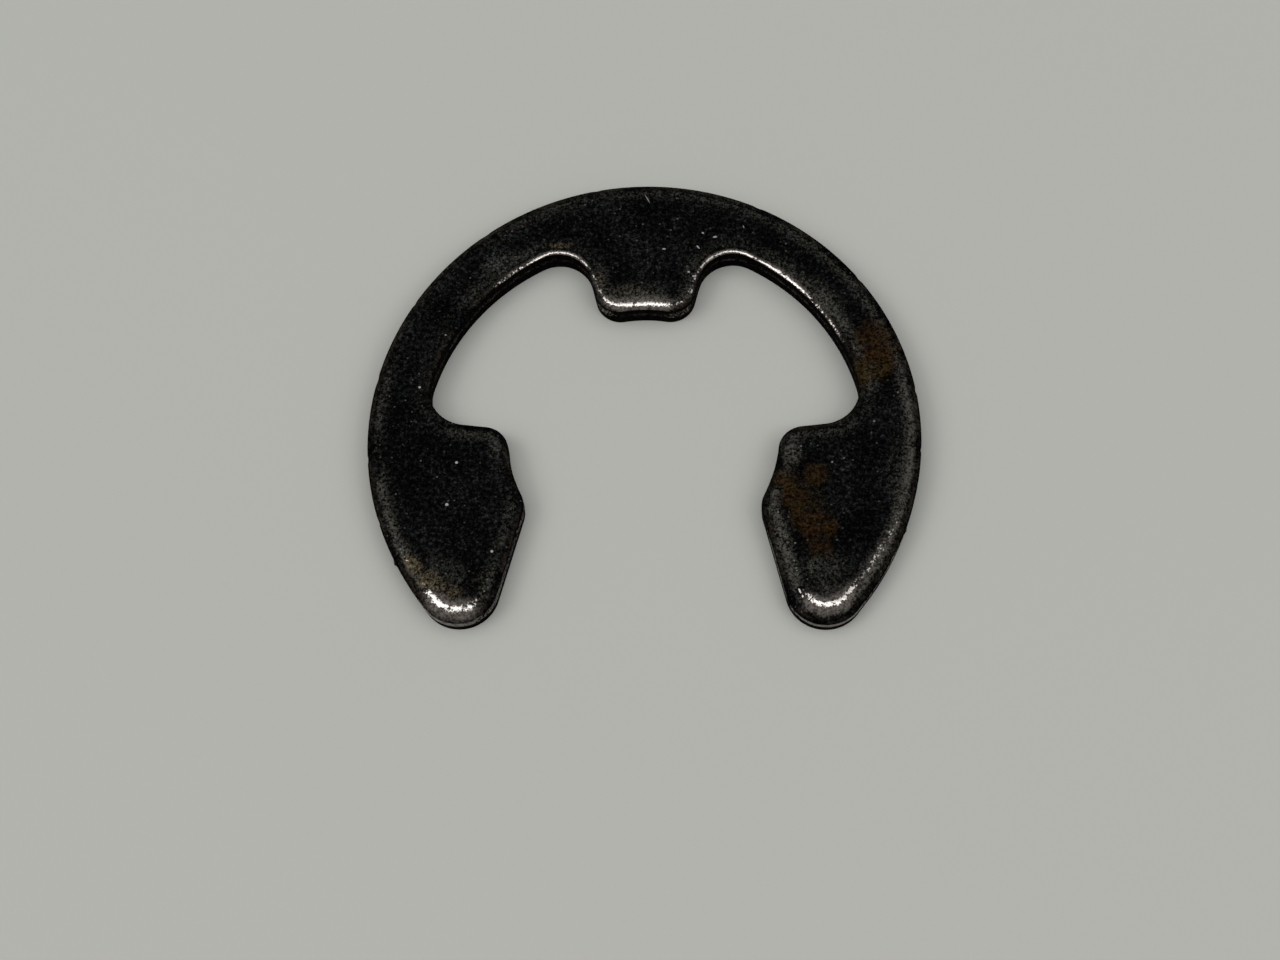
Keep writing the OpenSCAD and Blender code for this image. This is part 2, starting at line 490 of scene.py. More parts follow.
def pick_verts(test: Callable[[Vector], bool]) -> None:
    """Selects the vertices whose place passes a test, and nothing else, in edit mode."""
    bpy.ops.mesh.select_all(action="DESELECT")
    data = bpy.context.edit_object.data
    mesh = bmesh.from_edit_mesh(data)
    for vert in mesh.verts:
        vert.select = test(vert.co)
    mesh.select_flush(True)
    bmesh.update_edit_mesh(data)


def apply_modifiers(obj: bpy.types.Object) -> None:
    """Applies every modifier of an object in order."""
    bpy.context.view_layer.objects.active = obj
    for name in [modifier.name for modifier in obj.modifiers]:
        bpy.ops.object.modifier_apply(modifier=name)


@dataclass
class RetainingRing:
    """The stamped ring: its mesh and its wear."""

    sizes: RingSizes = field(default_factory=RingSizes)
    spacing: float = 0.06 * MM
    hair: float = 0.003 * MM
    lower_break: float = 0.03 * MM
    break_height: float = 0.56 * MM
    broken_levels: int = 7
    smooth_levels: int = 4
    face_rings: int = 18
    trace_inset: float = 0.012 * MM
    band_width: float = 0.92 * MM
    band_margin: float = 1.06
    ring_crowding: float = 1.5
    nick_fade: int = 3
    least_rubbed: float = 0.14
    undercut: float = 0.02 * MM
    broken_grain: float = 0.16 * MM
    broken_depth: float = 0.022 * MM
    broken_middle: float = 0.55
    broken_fade: float = 0.25
    foot_fade: int = 4
    crisp_from: float = math.radians(40)

    def build(self) -> bpy.types.Object:
        """Models the ring.

        Returns:
            The finished mesh object, at the origin.
        """
        self.outline = Outline(self.sizes, self.spacing)
        obj = self._trace_half()
        self._mirror_half(obj)
        self._raise_wall()
        self._roll_edge()
        bpy.ops.object.mode_set(mode="OBJECT")
        self._settle(obj)
        self._break_wall(obj)
        self._finish_faces(obj)
        return obj

    def _trace_half(self) -> bpy.types.Object:
        """Draws the right half of the outline from one vertex, by spins and straight pulls.

        Returns:
            The object, in edit mode, holding one open chain of edges.
        """
        start = Vector((0.0, self.sizes.seat_r, 0.0))
        bpy.ops.object.select_all(action="DESELECT")
        bpy.ops.mesh.primitive_plane_add(size=MM, location=start)
        obj = bpy.context.object
        obj.name = obj.data.name = "retaining_ring"
        bpy.ops.object.transform_apply(location=True)
        bpy.ops.object.mode_set(mode="EDIT")
        bpy.ops.mesh.select_mode(type="VERT")
        bpy.ops.mesh.select_all(action="SELECT")
        bpy.ops.mesh.merge(type="CENTER")
        last = start.xy
        for arc in self.outline.arcs:
            first = arc.point(arc.start)
            if (first - last).length > self.hair:
                self._pull_straight(last, first)
            bpy.ops.mesh.spin(steps=self.outline.steps_along(arc.length), angle=arc.start - arc.end,
                              center=arc.centre.to_3d(), axis=(0.0, 0.0, 1.0))
            last = arc.point(arc.end)
        return obj

    def _pull_straight(self, first: Vector, last: Vector) -> None:
        """Extrudes the selected vertex along a straight edge, in even steps."""
        steps = self.outline.steps_along((last - first).length)
        step = ((last - first) / steps).to_3d()
        for _ in range(steps):
            bpy.ops.mesh.extrude_region_move(TRANSFORM_OT_translate={"value": step})

    def _mirror_half(self, obj: bpy.types.Object) -> None:
        """Mirrors the half outline, closes it and fills it with one face."""
        bpy.ops.object.mode_set(mode="OBJECT")
        obj.modifiers.new("Mirror", "MIRROR").merge_threshold = self.hair
        apply_modifiers(obj)
        bpy.ops.object.mode_set(mode="EDIT")
        bpy.ops.mesh.select_all(action="SELECT")
        bpy.ops.mesh.remove_doubles(threshold=self.hair)
        bpy.ops.mesh.edge_face_add()
        bpy.ops.mesh.normals_make_consistent(inside=False)
        log.info("outline closed with %d vertices", len(bmesh.from_edit_mesh(obj.data).verts))

    def _raise_wall(self) -> None:
        """Raises the blank to its thickness, level by level, and breaks its lower edge."""
        low, middle, top = self.lower_break, self.break_height, self.sizes.thickness
        heights = [low + (middle - low) * i / self.broken_levels for i in range(self.broken_levels)]
        heights += [middle + (top - middle) * i / self.smooth_levels for i in range(self.smooth_levels + 1)]
        bpy.ops.mesh.select_all(action="SELECT")
        bpy.ops.transform.translate(value=(0.0, 0.0, low))
        for lower, upper in zip(heights, heights[1:]):
            bpy.ops.mesh.extrude_region_move(TRANSFORM_OT_translate={"value": (0.0, 0.0, upper - lower)})
        pick_verts(lambda place: place.z < (heights[0] + heights[1]) / 2)
        bpy.ops.mesh.inset(thickness=low, depth=0.0)
        bpy.ops.transform.translate(value=(0.0, 0.0, -low))

    def _roll_edge(self) -> None:
        """Insets the upper face in fine rings, which are spread and sunk once they all exist."""
        pick_verts(lambda place: place.z > self.sizes.thickness - self.hair)
        for _ in range(self.face_rings):
            bpy.ops.mesh.inset(thickness=self.trace_inset, depth=0.0)
        bpy.ops.mesh.select_all(action="SELECT")
        bpy.ops.mesh.normals_make_consistent(inside=False)

    def _settle(self, obj: bpy.types.Object) -> None:
        """Spreads the upper rings over the rolled edge and sinks them, and stores what the finish reads.

        The mesh keeps these attributes: inward is the distance in from the wall in millimetres, crest
        is how far in past the crest a place lies, as a share of the crest's reach, and wall is 1 down
        the wall and 0 on the faces. The others are the wear of the edge.
        """
        top = self.sizes.thickness
        names = ("inward", "crest", "wall", "rubbed", "bare", "polish")
        for name in names:
            obj.data.attributes.new(name, "FLOAT", "POINT")
        stored = {name: obj.data.attributes[name].data for name in names}
        for vert in obj.data.vertices:
            station = self.outline.nearest(vert.co)
            inset = max(0.0, (station.place - vert.co.xy).dot(station.out))
            values = dict(self._wear_at(station.place), inward=1.0, crest=2.0, wall=0.0)
            if vert.co.z > top - self.hair:
                ring = round(inset / self.trace_inset)
                band = max(self.band_width, station.roll.width * self.band_margin)
                depth_in = band * (ring / self.face_rings) ** self.ring_crowding
                fade = (1.0 - ring / self.face_rings) ** self.nick_fade
                place = station.place - (depth_in + self._nicked(station.place, top) * fade) * station.out
                vert.co = (place.x, place.y, top - station.roll.drop(depth_in))
                past = (depth_in - station.roll.crest) / station.roll.reach
                values.update(inward=depth_in / MM, crest=past, wall=0.0 if ring else 1.0)
            elif inset < self.lower_break / 2:
                values["wall"] = 1.0
                above = max(0.0, vert.co.z - self.break_height) / (top - self.break_height)
                vert.co.z -= above * station.roll.drop(0.0)
                below = 1.0 - smooth_step(vert.co.z / self.break_height)
                pushed = self._nicked(station.place, vert.co.z)
                vert.co.xy -= (below * self.undercut + pushed) * station.out
            for name, value in values.items():
                stored[name][vert.index].value = value

    @staticmethod
    def _nicked(place: Vector, height: float) -> float:
        """Returns how far the nicks push the wall in at a place on the outline and a height."""
        return sum(nick.push(place, height) for nick in NICKS)

    def _wear_at(self, place: Vector) -> dict[str, float]:
        """Returns how worn the edge is in each way, from 0 to 1, at a place on the outline."""
        shares = [(wear, wear.share(place)) for wear in EDGE_WEAR]
        worn = {name: max(getattr(wear, name) * share for wear, share in shares)
                for name in ("rubbed", "bare", "polish")}
        return {**worn, "rubbed": max(worn["rubbed"], self.least_rubbed)}

    def _break_wall(self, obj: bpy.types.Object) -> None:
        """Roughens the lower, broken band of the wall."""
        broken = obj.vertex_groups.new(name="broken")
        fade = self.broken_fade * self.break_height
        foot = self.foot_fade * self.lower_break
        for vert, wall in zip(obj.data.vertices, obj.data.attributes["wall"].data):
            if wall.value > 0.5 and vert.co.z < self.break_height:
                weight = smooth_step((self.break_height - vert.co.z) / fade)
                broken.add([vert.index], weight * smooth_step(vert.co.z / foot), "REPLACE")
        grain = bpy.data.textures.new("broken_grain", "CLOUDS")
        grain.noise_scale = self.broken_grain
        grain.noise_depth = 2
        displace = obj.modifiers.new("Displace", "DISPLACE")
        displace.texture = grain
        displace.texture_coords = "LOCAL"
        displace.vertex_group = broken.name
        displace.mid_level = self.broken_middle
        displace.strength = self.broken_depth
        apply_modifiers(obj)
        bpy.data.textures.remove(grain)
        obj.vertex_groups.clear()

    def _finish_faces(self, obj: bpy.types.Object) -> None:
        """Divides the flat faces into even triangles, and shades the ring with its lower edge crisp."""
        bpy.ops.object.select_all(action="DESELECT")
        obj.select_set(True)
        bpy.ops.object.mode_set(mode="EDIT")
        bpy.ops.mesh.select_all(action="DESELECT")
        bpy.ops.mesh.select_face_by_sides(number=4, type="GREATER")
        bpy.ops.mesh.quads_convert_to_tris(quad_method="BEAUTY", ngon_method="BEAUTY")
        bpy.ops.object.mode_set(mode="OBJECT")
        bpy.ops.object.shade_smooth_by_angle(angle=self.crisp_from)


# ---- Finishes ----

Colour = tuple[float, float, float]

# the mix node has a set of sockets for each kind of value, and these are those for colours
FIRST_COLOUR, SECOND_COLOUR, MIXED_COLOUR = 6, 7, 2


@dataclass(frozen=True)
class Mark:
    """A soft-edged patch on the upper face.

    Attributes:
        x: Its middle's distance towards +X, in millimetres.
        y: Its middle's distance towards +Y, in millimetres.
        length: Half its length in millimetres.
        width: Half its width in millimetres.
        turn: How far its length is turned from +X, in degrees.
        strength: How strong it is in its middle.
        core: The share of it over which it is that strong.
    """

    x: float
    y: float
    length: float
    width: float
    turn: float = 0.0
    strength: float = 1.0
    core: float = 0.2


def marks(*rows: Sequence[float]) -> tuple[Mark, ...]:
    """Returns a patch for each row of values."""
    return tuple(Mark(*row) for row in rows)


class Value:
    """An output in a sheet of nodes. Arithmetic on it adds the nodes that work out the result."""

    def __init__(self, sheet: "Sheet", socket: bpy.types.NodeSocket) -> None:
        """Holds one socket of a sheet."""
        self.sheet = sheet
        self.socket = socket

    def other(self, name: str) -> "Value":
        """Returns another output of the same node."""
        return Value(self.sheet, self.socket.node.outputs[name])

    def __add__(self, other: "Source") -> "Value":
        """Adds something."""
        return self.sheet.math("ADD", self, other)

    def __sub__(self, other: "Source") -> "Value":
        """Takes something away."""
        return self.sheet.math("SUBTRACT", self, other)

    def __rsub__(self, other: float) -> "Value":
        """Takes the value away from a number."""
        return self.sheet.math("SUBTRACT", other, self)

    def __mul__(self, other: "Source") -> "Value":
        """Multiplies by something."""
        return self.sheet.math("MULTIPLY", self, other)

    def __pow__(self, power: float) -> "Value":
        """Raises the value to a power."""
        return self.sheet.math("POWER", self, power)

    def most(self, *others: "Value") -> "Value":
        """Returns the greatest of the value and some others."""
        greatest = self
        for other in others:
            greatest = self.sheet.math("MAXIMUM", greatest, other)
        return greatest

    def ramp(self, low: float, high: float, first: float = 0.0, last: float = 1.0) -> "Value":
        """Eases between two results.

        Args:
            low: The value up to which the first result holds.
            high: The value from which the last result holds.
            first: The first result.
            last: The last result.

        Returns:
            The eased result.
        """
        return self.sheet.node("ShaderNodeMapRange", "Result", interpolation_type="SMOOTHSTEP", feeds={
            "Value": self, "From Min": low, "From Max": high, "To Min": first, "To Max": last})

    def band(self, low: float, full: float, falling: float, high: float) -> "Value":
        """Masks the values between low and high, fully so between full and falling."""
        return self.ramp(low, full) * self.ramp(falling, high, 1.0, 0.0)


Source = Value | float | Sequence[float]


class Sheet:
    """The node tree of a material or of the world."""

    def __init__(self, owner: bpy.types.Material | bpy.types.World) -> None:
        """Turns the owner's nodes on."""
        owner.use_nodes = True
        self.owner = owner
        self.tree = owner.node_tree

    def node(self, kind: str, output: str | int, feeds: dict[str | int, Source] | None = None,
             **settings: object) -> Value:
        """Adds a node.

        Args:
            kind: The node's type.
            output: The output that is wanted.
            feeds: What goes into each input.
            settings: The node's own properties.

        Returns:
            The output.
        """
        node = self.tree.nodes.new(kind)
        for name, value in settings.items():
            setattr(node, name, value)
        for name, source in (feeds or {}).items():
            self.feed(source, node.inputs[name])
        return Value(self, node.outputs[output])

    def feed(self, source: Source, socket: bpy.types.NodeSocket) -> None:
        """Feeds a socket from an output, or sets it to a constant."""
        if isinstance(source, Value):
            self.tree.links.new(source.socket, socket)
        elif socket.type == "RGBA":
            socket.default_value = (*source, 1.0)
        else:
            socket.default_value = source

    def math(self, operation: str, first: Source, second: Source, clamp: bool = False) -> Value:
        """Works out an operation on two values, clamped between 0 and 1 or not."""
        return self.node("ShaderNodeMath", 0, {0: first, 1: second}, operation=operation, use_clamp=clamp)

    def length(self, vector: Value) -> Value:
        """Returns the length of a vector."""
        return self.node("ShaderNodeVectorMath", "Value", {0: vector}, operation="LENGTH")

    def attribute(self, name: str) -> Value:
        """Reads one of the mesh's own attributes."""
        return self.node("ShaderNodeAttribute", "Fac", attribute_name=name)

    def place(self, centre: Sequence[float] = (0.0, 0.0, 0.0), turn: float = 0.0,
              stretch: Sequence[float] = (1.0, 1.0, 1.0)) -> Value:
        """Gives the object's own coordinates in millimetres about a place.

        Args:
            centre: The place that becomes the origin, in millimetres.
            turn: How far the pattern is turned about Z, in degrees.
            stretch: How much the pattern is stretched along each of its axes.

        Returns:
            The coordinates.
        """
        return self.node("ShaderNodeMapping", "Vector", vector_type="TEXTURE", feeds={
            "Vector": self.node("ShaderNodeTexCoord", "Object"), "Rotation": (0.0, 0.0, math.radians(turn)),
            "Location": [MM * c for c in centre], "Scale": [MM * s for s in stretch]})

    def noise(self, size: float, detail: float = 3.0, roughness: float = 0.6,
              centre: Sequence[float] = (0.0, 0.0, 0.0),
              stretch: Sequence[float] = (1.0, 1.0, 1.0)) -> Value:
        """Makes noise whose blobs measure about a size in millimetres.

        Args:
            size: That size.
            detail: How many finer layers are added.
            roughness: How strong the finer layers are.
            centre: The place that the pattern starts from, in millimetres.
            stretch: How much the pattern is stretched along each of its axes.

        Returns:
            The noise, from 0 to 1.
        """
        return self.node("ShaderNodeTexNoise", "Fac", {
            "Vector": self.place(centre, stretch=stretch), "Scale": 1.0 / size,
            "Detail": detail, "Roughness": roughness})

    def blend(self, share: Source, first: Source, second: Source) -> Value:
        """Mixes two colours."""
        return self.node("ShaderNodeMix", MIXED_COLOUR, data_type="RGBA", clamp_factor=True, feeds={
            0: share, FIRST_COLOUR: first, SECOND_COLOUR: second})

    def patches(self, group: Iterable[Mark], ragged: float, grain: float, soft: float = 0.25) -> Value:
        """Joins several patches into one mask, and breaks its edge up with noise.

        Args:
            group: The patches.
            ragged: How much of the mask's fade the noise takes over.
            grain: The size of that noise in millimetres.
            soft: Half the width of the mask's fade; 0.5 fades all the way to its middle.

        Returns:
            The mask.
        """
        deep = 1000.0
        spots = [self.length(self.place((mark.x, mark.y, 0.0), mark.turn, (mark.length, mark.width, deep)))
                 .ramp(mark.core, 1.0, mark.strength, 0.0) for mark in group]
        joined = spots[0].most(*spots[1:])
        jitter = self.noise(grain, 5.0, 0.7) - 0.5
        return (joined + jitter * ragged * joined.ramp(0.0, 0.2)).ramp(0.5 - soft, 0.5 + soft)

    def seen(self) -> Value:
        """Returns 1 for what is seen, mirrored or shown through, and 0 for light on its way."""
        path = self.node("ShaderNodeLightPath", "Is Camera Ray")
        return path.most(path.other("Is Glossy Ray"), path.other("Is Transmission Ray"))

    def show_mixed(self, share: Value, first: bpy.types.NodeSocket, second: Value) -> None:
        """Shows a mix of two shaders as the owner's surface.

        Args:
            share: How much of the second shader shows.
            first: The first shader's socket.
            second: The second shader.
        """
        mix = self.node("ShaderNodeMixShader", "Shader", {0: share, 1: Value(self, first), 2: second})
        output = next(node for node in self.tree.nodes if node.bl_idname.startswith("ShaderNodeOutput"))
        self.feed(mix, output.inputs["Surface"])


class Skin(Sheet):
    """A material's sheet, with its one shader."""

    def __init__(self, name: str) -> None:
        """Starts a material."""
        super().__init__(bpy.data.materials.new(name))
        self.shader = self.tree.nodes["Principled BSDF"]

    def coat(self, obj: bpy.types.Object, **feeds: Source) -> None:
        """Feeds the shader's inputs, named with underscores for spaces, and gives an object the material."""
        for name, source in feeds.items():
            self.feed(source, self.shader.inputs[name.replace("_", " ")])
        obj.data.materials.clear()
        obj.data.materials.append(self.owner)


RUST = marks(
    (8.60, 3.30, 1.20, 1.80, 8), (8.15, 2.45, 0.75, 0.85), (6.25, -1.65, 0.75, 0.75, -30, 0.8),
    (5.48, -2.45, 0.65, 1.40, 10), (6.25, -3.55, 1.20, 0.80, -8), (6.35, -4.40, 0.75, 0.85, 30, 0.7),
    (5.05, -1.75, 0.45, 0.60, 0, 0.8), (5.90, -2.70, 1.30, 2.20, 12, 0.45),
)
HAZE = marks(
    (-7.1, -5.3, 1.6, 1.0, -35, 0.34), (5.45, -0.75, 0.55, 0.75, 0, 0.7),
    (5.10, -4.2, 0.50, 1.4, 10, 0.6), (6.6, -5.1, 1.4, 0.8, 0, 0.45), (-0.2, 5.7, 1.7, 0.6, 0, 0.38),
    (6.6, 5.5, 1.6, 0.9, -40, 0.4), (-5.6, 6.9, 1.2, 0.6, 38, 0.4), (9.2, -1.5, 0.6, 2.2, 0, 0.25),
)
GOLD = marks(
    (-8.20, -5.05, 0.85, 0.45, -44, 0.70), (-7.55, -5.70, 0.85, 0.60, -34, 0.95),
    (-6.85, -6.05, 0.75, 0.45, -8, 0.75), (-5.85, -5.55, 0.50, 0.28, 35, 0.35),
    (-0.6, 5.75, 1.5, 0.36, 0, 0.35), (-1.75, 6.1, 0.35, 0.60, 0, 0.45), (6.6, -5.85, 1.2, 0.40, 0, 0.30),
    (-3.3, 7.62, 0.80, 0.22, 0, 0.6), (2.35, 7.15, 0.35, 0.25, 0, 0.5),
)
FLECKS = marks(
    (-6.83, -1.14, 0.09, 0.08), (-7.12, -2.77, 0.10, 0.09), (-5.41, -4.56, 0.08, 0.08),
    (-8.33, 1.84, 0.08, 0.07), (-7.45, 3.95, 0.08, 0.06, 0, 0.6), (2.64, 7.94, 0.13, 0.06, 10),
    (2.00, 7.52, 0.14, 0.05, -50), (0.71, 7.45, 0.11, 0.05), (2.18, 8.11, 0.08, 0.05, -30),
    (3.72, 8.36, 0.13, 0.04, -70, 0.6), (1.65, 6.49, 0.08, 0.06), (1.84, 6.32, 0.09, 0.06),
    (1.76, 5.72, 0.06, 0.14, -15), (5.68, -6.02, 0.05, 0.17, 24), (5.78, -6.22, 0.04, 0.09, 10),
    (0.05, 9.58, 0.36, 0.03, -61, 0.8), (0.84, 7.97, 0.09, 0.06, 0, 0.40),
    (4.08, 8.12, 0.08, 0.06, 0, 0.40), (9.37, 1.58, 0.09, 0.07, 0, 0.48),
    (8.47, 0.44, 0.10, 0.09, 0, 0.48), (6.91, -1.15, 0.10, 0.08, 30, 0.48),
    (7.34, -1.00, 0.09, 0.06, 0, 0.48), (9.48, -1.16, 0.08, 0.06, 0, 0.40),
    (5.79, -0.53, 0.08, 0.06, 0, 0.48), (4.93, -3.07, 0.08, 0.07, 0, 0.48),
    (5.53, -4.25, 0.09, 0.08, 0, 0.48), (6.09, -5.08, 0.08, 0.06, 0, 0.40),
    (-6.21, -5.31, 0.09, 0.07, 0, 0.40), (-4.87, -3.18, 0.08, 0.06, 0, 0.40),
    (-7.38, -5.08, 0.10, 0.06, -30, 0.40), (7.80, 3.35, 0.08, 0.06, 0, 0.40),
)
PITS = marks(
    (-6.88, -6.70, 0.10, 0.07, 0, 1.0, 0.4), (1.45, 5.45, 0.12, 0.10, 0, 1.0, 0.4),
    (7.20, -6.42, 0.10, 0.08, 0, 1.0, 0.4), (7.50, -6.17, 0.08, 0.07, 0, 1.0, 0.4),
    (5.92, -6.38, 0.07, 0.16, 0, 1.0, 0.4), (-0.12, 5.28, 0.28, 0.20, 0, 0.55),
)


class OxideSkin(Skin):
    """The sheet of worn black oxide: its patterns, and the masks that say what shows where.

    A mask is 1 where a coat covers the ring and 0 where it doesn't. Distances are in millimetres.
    """

    # the last of these sets how strongly the painted highlight along the wall's middle shows
    FLECKS_SHOW, LINE_SHOWS, SEAM_SHOWS = 0.60, 0.4, 0.65
    POINTS_PER_MM = 4.6
    GRAIN_RELIEF = 0.016 * MM
    TEAR_RELIEF = 3.0

    def __init__(self, name: str) -> None:
        """Lays the patterns that several masks share."""
        super().__init__(name)
        self.grain = self.noise(0.150, 3.0, 0.65)
        self.fine = self.noise(0.070, 1.0, 0.5, (3.0, 1.0, 0.0))
        self.drift = self.noise(1.6, 4.0, 0.7, (0.0, 5.0, 0.0))
        self.mottle = self.grain * 0.55 + self.fine * 0.45
        self.inward = self.attribute("inward")
        self.crest = self.attribute("crest")
        self.wall = self.attribute("wall").ramp(0.35, 0.75)
        self.face = 1.0 - self.wall

    def gold(self) -> Value:
        """Masks the golden tint, which stays clear of the edge itself."""
        return self.patches(GOLD, 1.1, 0.35, 0.4) * self.face * self.inward.ramp(0.08, 0.32)

    def rust(self) -> Value:
        """Masks the rust, which lies in clumps."""
        clumps = self.noise(0.34, 4.0, 0.65, (4.0, 0.0, 0.0))
        return self.patches(RUST, 1.1, 0.6, 0.45) * self.face * clumps.ramp(0.34, 0.58, 0.25, 1.0)

    def haze(self) -> Value:
        """Masks the thin grey rubbing on the face, in specks."""
        return self.patches(HAZE, 0.9, 0.5, 0.5) * self.face * self.mottle.ramp(0.40, 0.66)

    def scuffs(self) -> Value:
        """Masks the small scuffs all over the face."""
        scuffs = self.noise(0.20, 2.0, 0.55, (0.0, 0.0, 2.0))
        return (scuffs + self.drift * 0.3).ramp(0.74, 0.92, 0.0, 0.45)

    def rubbed(self) -> Value:
        """Masks the grey band along the upper edge, which breaks up into specks where it fades."""
        amount = self.inward.band(0.12, 0.38, 0.32, 0.90) * self.attribute("rubbed")
        specks = self.mottle * 2.2 + amount * 0.35
        return amount * specks.ramp(1.02, 1.50, 0.10, 1.0) * self.face

    def worn(self) -> Value:
        """Masks the brownish grey to either side of the bare crest."""
        amount = self.crest.band(-1.35, -0.10, -0.10, 1.30) * self.attribute("bare")
        return (amount + self.mottle * 0.5).ramp(0.30, 1.15) * self.face

    def bare(self) -> Value:
        """Masks the bright steel on the crest of the roll, and the flecks on the face."""
        wander = self.noise(0.6, 3.0, 0.6, (2.0, 0.0, 0.0)) - 0.5
        band = (self.crest + wander * 0.35).band(-0.42, -0.02, 0.02, 0.42)
        breaks = self.noise(0.32, 3.0, 0.6, (0.0, 3.0, 0.0)).ramp(0.36, 0.46, 0.62, 1.0)
        amount = band * self.attribute("bare") * breaks
        speckle = self.grain * 0.7 + self.fine * 1.3
        level = amount + (speckle - 1.0) * 1.3
        edge = level.ramp(0.32, 0.84) * amount.ramp(0.0, 0.15)
        flecks = self.patches(FLECKS, 0.3, 0.1) * self.FLECKS_SHOW
        return edge.most(flecks) * self.face * (1.0 - self.patches(PITS, 0.6, 0.1))

    def edge_line(self) -> Value:
        """Masks the thin brown line that runs along parts of the edge itself."""
        line = self.inward.band(0.03, 0.08, 0.10, 0.24)
        return line * self.drift.ramp(0.40, 0.62) * self.fine.ramp(0.30, 0.60) * self.LINE_SHOWS * self.face

    def dust(self) -> Value:
        """Scatters tiny rubbed points over the whole face, more in some places than in others."""
        cells = self.node("ShaderNodeTexVoronoi", "Distance", feature="F1", feeds={
            "Vector": self.place((1.0, 2.0, 0.0)), "Scale": self.POINTS_PER_MM})
        red = self.node("ShaderNodeSeparateColor", "Red", {"Color": cells.other("Color")})
        chosen = (red + (self.drift - 0.5) * 0.8).ramp(0.56, 0.82)
        return cells.ramp(0.08, 0.22, 1.0, 0.0) * (chosen * red.other("Green").ramp(0.1, 1.0, 0.25, 1.0))

    def wall_height(self, wander: float) -> Value:
        """Gives the height up the wall in millimetres, made to wander a little by noise."""
        height = self.node("ShaderNodeSeparateXYZ", "Z", {"Vector": self.place()})
        return height + (self.noise(0.5) - 0.5) * wander

    def seam(self) -> Value:
        """Masks the faint, broken line along the wall where its smooth band meets the torn one: a painted
        highlight, whose lighter colour stands in for light caught along that line.
        """
        line = self.wall_height(0.34).band(0.50, 0.60, 0.62, 0.80)
        broken = line * self.mottle.ramp(0.44, 0.60) * self.drift.ramp(0.40, 0.56, 0.20, 1.0)
        return broken * self.SEAM_SHOWS

    def polish(self) -> Value:
        """Masks the smooth band of the wall, above the broken band, where it is polished."""
        amount = self.attribute("polish")
        level = (amount + (self.mottle - 0.5) * 3.5).ramp(0.25, 0.95)
        band = self.wall_height(0.20).band(0.40, 0.50, 0.78, 0.94)
        return band * level * self.wall * amount.ramp(0.0, 0.3, 0.10, 0.8)

    def relief(self, torn: Value, bare: Value) -> Value:
        """Raises the grain of the oxide, less on bare steel, and the tears of the broken band.

        Args:
            torn: The mask of the broken band.
            bare: The mask of bare steel.

        Returns:
            The normal.
        """
        tears = self.noise(0.09, 4.0, 0.7, stretch=(1.0, 1.0, 3.0))
        return self.node("ShaderNodeBump", "Normal", {
            "Strength": 1.0 - bare * 0.3, "Distance": self.GRAIN_RELIEF,
            "Height": self.grain * 0.6 + self.fine * 0.4 + tears * torn * self.TEAR_RELIEF})


